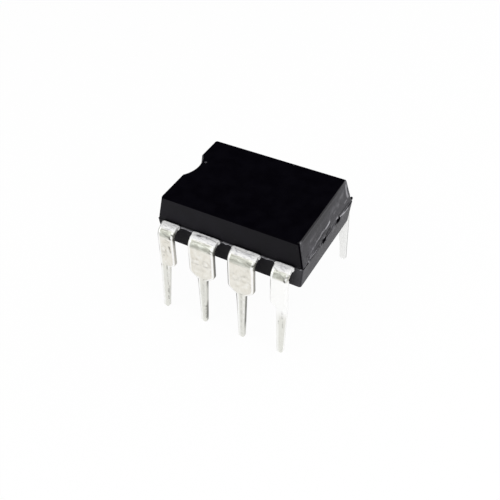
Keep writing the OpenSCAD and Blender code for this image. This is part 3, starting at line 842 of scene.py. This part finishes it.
# Marks on the outer faces of the leads, dents and streaks whose highlights and shade are painted as light
# and
# dark tones: tone, half width, and the line it follows as (place across, way down the leg from the end of
# the bend)
LEAD_TRACES = {
    1: [
        (-0.9, 0.04, [(0.6, -0.27), (0.72, -0.24)]),
        (-1.0, 0.05, [(0.49, -0.08), (0.55, -0.03)]),
        (0.8, 0.035, [(0.6, -0.17), (0.7, -0.12)]),
        (0.6, 0.03, [(0.42, 0.03), (0.62, 0.06)]),
        (-0.45, 0.03, [(0.1, -0.2), (0.35, -0.13), (0.58, -0.17)]),
        (-0.5, 0.035, [(-0.15, -0.38), (0.3, -0.4)]),
        (-0.35, 0.03, [(-0.2, -0.3), (0.1, -0.27), (0.4, -0.32)]),
        (-0.3, 0.03, [(-0.2, -0.62), (0.1, -0.58)]),
        (-0.35, 0.03, [(0.3, -0.66), (0.6, -0.6)]),
        (-0.22, 0.04, [(0.2, 0.1), (0.45, 0.2)]),
        (-0.2, 0.04, [(0.15, 0.3), (0.35, 0.32)]),
        (-0.2, 0.04, [(0.0, 0.55), (0.15, 0.65)]),
        (-0.7, 0.045, [(0.42, 0.55), (0.44, 0.68)]),
        (-0.45, 0.04, [(0.47, 0.75), (0.5, 0.95)]),
        (-0.17, 0.07, oval(-0.02, 0.9, 0.17, 0.2)[0:8]),
        (-0.17, 0.07, oval(0.3, 1.0, 0.13, 0.24)[3:10]),
        (0.8, 0.06, [(-0.04, 0.8), (0.04, 0.88)]),
        (0.7, 0.05, [(0.3, 0.78), (0.33, 0.98)]),
        (0.5, 0.05, [(0.2, 1.6), (0.05, 1.8)]),
        (-0.3, 0.05, [(-0.1, 1.5), (0.0, 1.3)]),
        (-0.6, 0.04, [(0.14, 2.05), (0.12, 2.3)]),
        (-0.3, 0.05, [(0.12, 2.3), (0.1, 3.8)]),
        (-0.6, 0.045, [(0.08, 3.9), (0.0, 4.8)]),
        (-0.35, 0.04, [(-0.28, 2.14), (-0.15, 2.1)]),
        (-0.25, 0.04, [(-0.15, 3.1), (-0.14, 3.3)]),
        (0.6, 0.07, [(0.24, 2.1), (0.2, 3.6)]),
        (0.5, 0.09, [(-0.22, 2.4), (-0.36, 5.0)]),
    ],
    2: [
        (-1.0, 0.035, [(-0.48, -0.69), (-0.28, -0.7)]),
        (-0.5, 0.025, [(-0.28, -0.71), (0.1, -0.75)]),
        (-0.55, 0.03, [(0.1, -0.77), (0.4, -0.72), (0.75, -0.68)]),
        (-0.35, 0.025, [(-0.7, -0.6), (-0.55, -0.66)]),
        (-0.35, 0.04, [(-0.6, -0.3), (-0.3, -0.36), (0.0, -0.33), (0.5, -0.38)]),
        (-0.45, 0.035, [(0.6, -0.2), (0.78, -0.15)]),
        (-0.45, 0.03, [(0.5, -0.1), (0.72, -0.04)]),
        (0.6, 0.03, [(0.62, -0.28), (0.76, -0.24)]),
        (-0.2, 0.07, oval(-0.28, 0.87, 0.3, 0.19)[1:9]),
        (-0.2, 0.07, oval(0.33, 0.84, 0.21, 0.2)),
        (-0.15, 0.05, [(-0.62, 1.06), (-0.2, 1.06)]),
        (-0.15, 0.05, [(0.15, 1.05), (0.42, 1.03)]),
        (-0.2, 0.035, [(0.68, 0.3), (0.66, 0.9), (0.6, 1.5)]),
        (-0.1, 0.12, [(-0.5, 1.35), (0.1, 1.4)]),
        (0.5, 0.09, [(-0.34, 0.87), (-0.2, 0.86)]),
        (0.5, 0.09, [(0.31, 0.84), (0.37, 0.85)]),
        (0.25, 0.08, [(-0.3, 0.48), (0.1, 0.45)]),
        (-0.45, 0.05, [(-0.17, 3.05), (-0.15, 3.25)]),
        (-0.14, 0.1, [(0.07, 2.2), (0.03, 5.0)]),
        (0.6, 0.06, [(-0.22, 2.0), (-0.2, 5.0)]),
        (-0.6, 0.06, [(0.2, 4.1), (0.16, 5.1)]),
        (-0.35, 0.035, [(0.1, 2.06), (0.28, 2.0)]),
    ],
    3: [
        (-0.3, 0.05, [(-0.6, -0.36), (0.6, -0.3)]),
        (-0.4, 0.03, [(-0.6, -0.72), (0.1, -0.68), (0.6, -0.7)]),
        (-0.45, 0.035, [(0.4, -0.25), (0.6, -0.2)]),
        (-0.9, 0.04, [(0.72, -0.2), (0.83, -0.26)]),
        (0.7, 0.035, [(0.66, -0.12), (0.72, 0.3)]),
        (-0.17, 0.07, oval(-0.35, 0.88, 0.24, 0.2)[0:8]),
        (-0.22, 0.06, [(-0.5, 1.09), (-0.36, 1.12), (-0.15, 1.1)]),
        (-0.17, 0.07, oval(0.3, 0.84, 0.26, 0.2)[3:10]),
        (-0.2, 0.06, [(0.05, 1.07), (0.3, 1.07), (0.5, 1.0)]),
        (-0.28, 0.04, [(0.62, 1.08), (0.63, 1.3)]),
        (-0.14, 0.05, [(0.5, 0.08), (0.5, 0.2)]),
        (-0.1, 0.1, [(-0.5, 1.5), (-0.2, 1.55)]),
        (-0.06, 0.2, [(0.35, 0.2), (0.3, 0.6)]),
        (0.5, 0.08, [(-0.4, 0.87), (-0.3, 0.87)]),
        (0.55, 0.07, [(0.46, 1.17), (0.4, 1.32)]),
        (0.25, 0.07, [(0.22, 0.84), (0.4, 0.83)]),
        (-0.2, 0.06, [(0.03, 2.1), (0.0, 5.2)]),
        (0.6, 0.065, [(-0.2, 2.1), (-0.17, 4.6)]),
        (0.6, 0.045, [(0.2, 2.2), (0.16, 4.2)]),
        (-0.3, 0.035, [(-0.2, 2.06), (0.1, 2.06)]),
    ],
    4: [
        (-1.0, 0.055, [(0.12, -0.07), (0.17, -0.03)]),
        (-0.45, 0.04, [(-0.5, -0.25), (-0.2, -0.3), (0.1, -0.2)]),
        (-0.35, 0.03, [(-0.3, -0.6), (0.0, -0.5)]),
        (-0.4, 0.03, [(-0.6, -0.5), (-0.4, -0.42)]),
        (-0.5, 0.035, [(0.18, -0.24), (0.3, -0.3)]),
        (-0.1, 0.04, [(0.2, 0.3), (0.2, 1.9)]),
        (-0.4, 0.05, [(-0.15, 3.0), (-0.14, 3.2)]),
        (-0.3, 0.04, [(0.1, 2.9), (0.12, 3.4)]),
        (-0.3, 0.05, [(0.05, 2.2), (0.07, 2.7)]),
    ],
    6: [(-0.14, 0.09, oval(0.1, 0.9, 0.28, 0.16)), (0.3, 0.1, [(-0.4, 1.25), (-0.25, 1.3)])],
    7: [(-0.14, 0.09, oval(-0.2, 1.0, 0.3, 0.15)), (0.3, 0.1, [(0.3, 1.3), (0.4, 1.4)])],
    8: [(-0.14, 0.09, oval(0.1, 0.9, 0.15, 0.22)), (0.3, 0.09, [(0.0, 1.4), (0.1, 1.5)])],
}
# How dark the sheared side towards the gate end is, down each lead, as (way, share); its changes along the
# lead are painted shade
SIDE_TONE = {
    1: [(-0.8, 0.5), (0.0, 1.0), (0.5, 0.6), (1.6, 0.5), (1.95, 0.55), (2.15, 0.1), (6, 0.1)],
    2: [(-0.8, 0.6), (0.0, 1.0), (2.2, 1.0), (2.7, 0.4), (3.6, 0.3), (4.0, 0.8), (5.0, 1.0), (5.4, 0.3)],
    3: [(-0.8, 0.5), (0.0, 0.7), (1.6, 0.8), (2.0, 1.0), (4.2, 0.95), (4.8, 0.35), (5.5, 0.1)],
    4: [(-0.8, 0.3), (0.0, 0.06), (1.0, 0.1), (2.0, 0.08), (6, 0.0)],
    5: [(-0.8, 0.1), (6, 0.0)],
}
# How dark the painted shade line along the very edge of the face is on the notch side, the same way
LINE_TONE = {
    1: [(-0.5, 0.4), (0.0, 0.45), (0.4, 0.1), (0.7, 0.4), (1.0, 0.4), (1.3, 0.05), (1.95, 0)]
    + [(2.1, 0.6), (2.4, 0)],
    2: [(0.4, 0), (0.6, 0.3), (1.7, 0.3), (1.85, 0.8), (2.2, 0.9), (2.5, 0.3), (4.5, 0.2), (5, 0)],
    3: [(-0.3, 0.4), (0.1, 0.85), (1.6, 0.85), (1.9, 1), (2.2, 1), (2.5, 0.8), (3.0, 0.5)]
    + [(3.5, 0.2), (5, 0)],
    4: [(0, 0.1), (0.2, 0.6), (0.7, 0.45), (0.9, 0.2), (1.9, 0.15), (2.1, 0)],
    5: [(0, 0), (6, 0)],
}
# The same for the leads that the photograph hides
PLAIN_TONE = [(-0.8, 0.6), (2.0, 0.6), (6, 0.4)]


def wear(n, x, y, way, a, b, rim, on_side, outer, m):
    """Shares of the tin's looks at one place, several of them painted highlight and shade: x across the
    lead, between its edges a and b, and m the tone of the marks there."""
    left, right = x - a, b - x
    near = min(left, right)
    towards_gate = right < left
    blotch = 0.5 + 0.5 * rough(n * 3.0 + x, y, way, 0.25, 3)
    side = table(SIDE_TONE.get(n, PLAIN_TONE), way) if towards_gate else 0.6
    line = table(LINE_TONE.get(n, PLAIN_TONE), way)
    # Painted highlight along the rolled rims of the face, wider at the pin's left edge
    rim_highlight = ease(near, 0.02, 0.05) * (1 - ease(near, rim * 0.8, rim * 1.15))
    on_pin = ease(way, 2.0, 2.2)
    if on_pin > 0:
        wide_rim_highlight = ease(left, 0.02, 0.05) * (1 - ease(left, 0.1, 0.2))
        rim_highlight = rim_highlight * (1 - on_pin) + wide_rim_highlight * on_pin * 0.7
    stub = near < 0.03 and STUB_Y - 0.01 < y < BEND_Y and way < -0.7
    looks = dict.fromkeys(LOOKS, 0.0)
    # The dam bar stubs are painted bright all over as a glint
    looks["rim"] = 1.0 if stub else rim_highlight * (1 - ease(-way, 0.1, 0.5) * 0.4)
    # Sheared metal, darkened down the lead by painted shade; on the face, that shade at its edge towards
    # the gate end and a painted shade line along the notch side
    if on_side:
        looks["shear_and_shade"] = 0.0 if stub else side
    elif towards_gate:
        looks["shear_and_shade"] = side * 0.8 * (1 - ease(near, 0.0, 0.035))
    else:
        looks["shear_and_shade"] = line * (1 - ease(near, 0.035, 0.1))
    # Lead 4 is bright from the bend to its pin, and lead 5 has a painted highlight at its rims all down the
    # leg, where the package shades it
    if n == 4:
        shine = 1.0 if on_side else 1 - ease(way, 2.15, 2.9)
        looks["bright"] = shine * ease(way, -0.08 - 0.1 * blotch, 0.02)
    if n == 5:
        looks["rim"] = 0.95 if way > 0 else looks["rim"]
    looks["pin"] = ease(way, 1.6, 2.6) * 0.8
    looks["frost"] = (1 - ease(way, -0.47, -0.4)) * (0.9 if y > 3.2 else 0.0)
    if not outer:
        # The root is black with resin bleed and painted shade
        looks["bleed_and_shade"] = 1 - ease(y, 3.2, 3.24) if way < -0.7 else 0.0
        return looks
    # A band of painted shade just below the bend
    looks["fold_shade"] = ease(way, -0.47 + 0.05 * blotch, -0.38) * (1 - ease(way, -0.14, 0.02 + 0.06 * blotch))
    # The root is black with resin bleed and painted shade
    looks["bleed_and_shade"] = 1 - ease(y, 3.25 + 0.02 * blotch, 3.28 + 0.02 * blotch) if way < -0.7 else 0.0
    # Dark marks are painted shade, and light marks add painted highlight to the rims
    looks["mark_shade"] = clamp(-m)
    looks["rim"] = clamp(looks["rim"] * (1 - clamp(-2 * m)) + max(m, 0))
    return looks


def edges_at(n, stop, left, right):
    """Places of a lead's two edges at one station, with the dam bar's stubs and the nick at the bend."""
    y, z, slope, way = stop
    a, b = table(left, z), table(right, z)
    if STUB_Y - 0.001 < y < BEND_Y - 0.005 and slope == 90.0:
        a -= DAM_STUB * clamp(0.75 + 0.3 * rough(n, y, 0.4, 0.1), 0.5, 1)
        b += DAM_STUB * clamp(0.75 + 0.3 * rough(n, y, 2.4, 0.1), 0.5, 1)
    b -= 0.03 * math.exp(-(((way + 0.1) / 0.12) ** 2)) * clamp(1 + rough(n, way, 5.0, 0.07), 0, 2)
    return a, b


def face_points(a, b, rim, drop, flat):
    """(x, depth) over one face from edge a to edge b, rolled over at both rims; flat is the number of
    steps between them."""
    roll = [(s * rim, drop * (1 - math.sqrt(1 - (1 - s) ** 2))) for s in RIM_STEPS]
    points = [(a + into, down) for into, down in roll]
    points += [(a + rim + (b - a - 2 * rim) * i / flat, 0.0) for i in range(1, flat)]
    return points + [(b - into, down) for into, down in reversed(roll)]


def mark(n, x, way):
    """Tone of the marks on the outer face of lead n, their painted highlight and shade, broken up on its
    flat part.
    """
    m = traced(LEAD_TRACES.get(n, []), x, way) if way > -0.9 else 0.0
    return m * clamp(0.7 + 1.1 * rough(x, way, n * 4.0, 0.17, 3), 0.1, 1.4) if way > 0.3 else m


def build_lead(n):
    """The formed sheet of lead n, as a skin of loops down its path from the neck on, and its finger."""
    k = (n - 1) % ROW_LEADS + 1
    lean = TIP_LEAN[n - 1]
    slope_h = SHOULDER_SLOPE[n - 1]
    left = edge_line(low_half(k), slope_h, lean, -1)
    right = edge_line(high_half(k), slope_h, lean, 1)
    bm = bmesh.new()
    layers = {name: bm.verts.layers.float.new(name) for name in LOOKS}
    turned = -1 if n > ROW_LEADS else 1
    x0 = along(k)
    loops = []
    stops = path()
    for stop in stops:
        y, z, slope, way = stop
        a, b = edges_at(n, stop, left, right)
        rim = min(RIM_W, (b - a) * 0.34)
        w = math.radians(slope)
        out_y, out_z = math.cos(w), math.sin(w)
        loop = []

        def add(x, off, on_side, outer, m=0.0):
            """One point of the loop, off from the middle of the sheet; the last loop lies on the floor."""
            py, pz = y + out_y * off, z + out_z * off
            if stop is stops[-1]:
                py -= pz * math.tan(SPLAY)
                pz = 0.0
            v = bm.verts.new(vec(turned * (x0 + x), -turned * py, max(pz, 0.0)))
            for name, share in wear(n, x, y, way, a, b, rim, on_side, outer, m).items():
                v[layers[name]] = clamp(share)
            loop.append(v)

        for x, down in face_points(a, b, rim, RIM_DROP, 32):
            m = mark(n, x, way)
            down += 0.006 * abs(m) + 0.002 * (1 + rough(x, way, n * 2.0, 0.3, 2))
            add(x, LEAD_T / 2 - down, False, True, m)
        for s in (0.35, 0.7):
            add(b, (LEAD_T / 2 - RIM_DROP) * (1 - 2 * s), True, False)
        for x, down in reversed(face_points(a, b, rim, INNER_DROP, 8)):
            add(x, down - LEAD_T / 2, False, False)
        for s in (0.7, 0.35):
            add(a, (LEAD_T / 2 - RIM_DROP) * (1 - 2 * s), True, False)
        loops.append(loop)
    count = len(loops[0])
    for a, b in zip(loops, loops[1:]):
        for i in range(count):
            j = (i + 1) % count
            bm.faces.new((a[i], a[j], b[j], b[i]))
    bm.faces.new(list(reversed(loops[0])))
    bm.faces.new(loops[-1])
    add_finger(bm, k, turned)
    bmesh.ops.recalc_face_normals(bm, faces=bm.faces)
    for f in bm.faces:
        f.smooth = True
    return bm


def add_finger(bm, k, turned):
    """The lead's finger inside the package: neck and bond finger, cut from the same sheet."""
    neck_y = JOIN_Y - NECK_L
    if 1 < k < ROW_LEADS:
        x = along(k)
        outline = [
            (x - NECK_W / 2, -JOIN_Y - 0.02),
            (x + NECK_W / 2, -JOIN_Y - 0.02),
            (x + NECK_W / 2, -neck_y),
            (x + FINGER_W / 2, -neck_y),
            (x + FINGER_W / 2, -FINGER_END),
            (x - FINGER_W / 2, -FINGER_END),
            (x - FINGER_W / 2, -neck_y),
            (x - NECK_W / 2, -neck_y),
        ]
    else:
        side = 1 if k == ROW_LEADS else -1
        neck_x = along(ROW_LEADS) + (END_OUTER - END_INNER) / 2
        tip_h = (neck_y - CORNER_END) * FINGER_TAPER
        outline = [
            (neck_x - NECK_W / 2, -JOIN_Y - 0.02),
            (neck_x - NECK_W / 2, -neck_y),
            (CORNER_TIP, -CORNER_END - tip_h),
            (CORNER_TIP, -CORNER_END),
            (CORNER_TIP + FINGER_W / 2, -CORNER_END),
            (neck_x + NECK_W / 2, -neck_y),
            (neck_x + NECK_W / 2, -JOIN_Y - 0.02),
        ]
        outline = [(side * x, y) for x, y in outline]
    base = [bm.verts.new(vec(turned * x, turned * y, SHEET_TOP - LEAD_T)) for x, y in outline]
    top = [bm.verts.new(vec(turned * x, turned * y, SHEET_TOP)) for x, y in outline]
    bm.faces.new(base)
    bm.faces.new(top)
    for i in range(len(base)):
        j = (i + 1) % len(base)
        bm.faces.new((base[i], base[j], top[j], top[i]))


def make_lead(n, material):
    obj = new_piece(f"formed_lead_{n}", build_lead(n), [material], f"lead_{n}")
    obj.data.set_sharp_from_angle(angle=math.radians(50))


# Floor, light and camera


def largest(tree, socket, *others):
    """The largest of some outputs, by a chain of nodes."""
    for other in others:
        node = tree.nodes.new("ShaderNodeMath")
        node.operation = "MAXIMUM"
        tree.links.new(socket, node.inputs[0])
        tree.links.new(other, node.inputs[1])
        socket = node.outputs[0]
    return socket


def make_floor():
    """A white floor that keeps the part's soft shadow."""
    bm = bmesh.new()
    bmesh.ops.create_grid(bm, x_segments=1, y_segments=1, size=0.6)
    mat = bpy.data.materials.new("floor_white")
    mat.use_nodes = True
    tree = mat.node_tree
    tree.nodes.clear()
    out = tree.nodes.new("ShaderNodeOutputMaterial")
    matte = tree.nodes.new("ShaderNodeBsdfDiffuse")
    matte.inputs["Color"].default_value = (1, 1, 1, 1)
    glow = tree.nodes.new("ShaderNodeEmission")
    glow.inputs["Color"].default_value = (1, 1, 1, 1)
    glow.inputs["Strength"].default_value = 1
    rays = tree.nodes.new("ShaderNodeLightPath").outputs
    seen = largest(tree, rays["Is Camera Ray"], rays["Is Glossy Ray"], rays["Is Transmission Ray"])
    share = tree.nodes.new("ShaderNodeMath")
    share.operation = "MULTIPLY"
    share.inputs[1].default_value = FLOOR_GLOW
    mix = tree.nodes.new("ShaderNodeMixShader")
    tree.links.new(seen, share.inputs[0])
    tree.links.new(share.outputs[0], mix.inputs["Fac"])
    tree.links.new(matte.outputs[0], mix.inputs[1])
    tree.links.new(glow.outputs[0], mix.inputs[2])
    tree.links.new(mix.outputs[0], out.inputs["Surface"])
    floor = mesh_object("floor", bm, [mat])


def make_world():
    """White where the camera sees it, and softer as a light and in mirror images."""
    world = bpy.data.worlds.new("studio")
    bpy.context.scene.world = world
    world.use_nodes = True
    tree = world.node_tree
    tree.nodes.clear()
    out = tree.nodes.new("ShaderNodeOutputWorld")
    back = tree.nodes.new("ShaderNodeBackground")
    back.inputs["Color"].default_value = (1, 1, 1, 1)
    rays = tree.nodes.new("ShaderNodeLightPath").outputs
    level = tree.nodes.new("ShaderNodeMapRange")
    level.inputs["To Min"].default_value = WORLD_LIGHT
    level.inputs["To Max"].default_value = WORLD_MIRROR
    mirrored = largest(tree, rays["Is Glossy Ray"], rays["Is Transmission Ray"])
    tree.links.new(mirrored, level.inputs["Value"])
    strength = largest(tree, level.outputs["Result"], rays["Is Camera Ray"])
    tree.links.new(strength, back.inputs["Strength"])
    tree.links.new(back.outputs[0], out.inputs["Surface"])


def lamp(name, place, aim, size, level):
    """A soft square lamp; level is the brightness of its face, where 1 is white."""
    data = bpy.data.lights.new(name, "AREA")
    data.shape = "SQUARE"
    data.size = size * MM
    data.energy = level * math.pi * (size * MM) ** 2
    obj = new_object(name, data)
    obj.location = vec(*place)
    look = vec(*aim) - obj.location
    obj.rotation_mode = "QUATERNION"
    obj.rotation_quaternion = look.to_track_quat("-Z", "Y")


def make_camera():
    """The photograph's viewpoint, from the corners of the package and the lead tips."""
    place = vec(16.6551, -27.5388, 33.5884)
    azimuth, elevation, roll = (math.radians(a) for a in (31.986, 43.801, -3.549))
    flat = math.cos(elevation)
    ahead = Vector((-math.sin(azimuth) * flat, math.cos(azimuth) * flat, -math.sin(elevation)))
    level = Vector((math.cos(azimuth), math.sin(azimuth), 0))
    upright = level.cross(ahead)
    right = level * math.cos(roll) + upright * math.sin(roll)
    up = upright * math.cos(roll) - level * math.sin(roll)
    data = bpy.data.cameras.new("camera")
    data.sensor_width = 36
    data.lens = 53.243
    data.clip_start = 0.001
    data.clip_end = 10
    obj = new_object("camera", data)
    turn = Matrix((right, up, -ahead)).transposed().to_4x4()
    obj.matrix_world = Matrix.Translation(place) @ turn
    bpy.context.scene.camera = obj


def paint_node(name, material):
    """The CAD model's own piece, with a material of this script."""
    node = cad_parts[name]
    node.data.materials.clear()
    node.data.materials.append(material)


# The scene put together

leads = range(1, 2 * ROW_LEADS + 1)
# Copies of one compound: besides roughness, gloss and grain, the top is painted darker as shade and the
# ends lighter where the light falls
finishes_and_shade = [
    compound("compound_top", rgb(3, 2, 6), rgb(7, 6, 11), 0.6, 0.004, 0.002),
    compound("compound_side", rgb(23, 22, 26), rgb(29, 28, 33), 0.62, 0.1, 0.006),
    compound("compound_end", rgb(37, 36, 41), rgb(54, 53, 58), 0.55, 0.38, 0.01, 0.6),
    compound("compound_broken", rgb(40, 39, 43), rgb(70, 69, 74), 0.7, 0.3, 0.02),
    compound("compound_edge", rgb(30, 29, 33), rgb(40, 39, 43), 0.4, 0.2, 0.003),
]
make_package(finishes_and_shade)
tin_plate = tin()
for number in leads:
    make_lead(number, tin_plate)
paint_node("die_paddle", frame_alloy())
paint_node("die_attach", silver_epoxy())
paint_node("silicon_die", silicon())
gold_wire = gold()
for number in leads:
    paint_node(f"bond_wire_{number}", gold_wire)

make_floor()
make_world()
lamp("key", (70, -25, 55), (0, 0, 5), 50, 3.0)
lamp("fill", (-45, -60, 50), (0, 0, 5), 60, 1.4)
lamp("rim", (55, 60, 38), (0, 0, 6), 36, 2.5)
make_camera()
bpy.context.scene.view_settings.view_transform = "Standard"
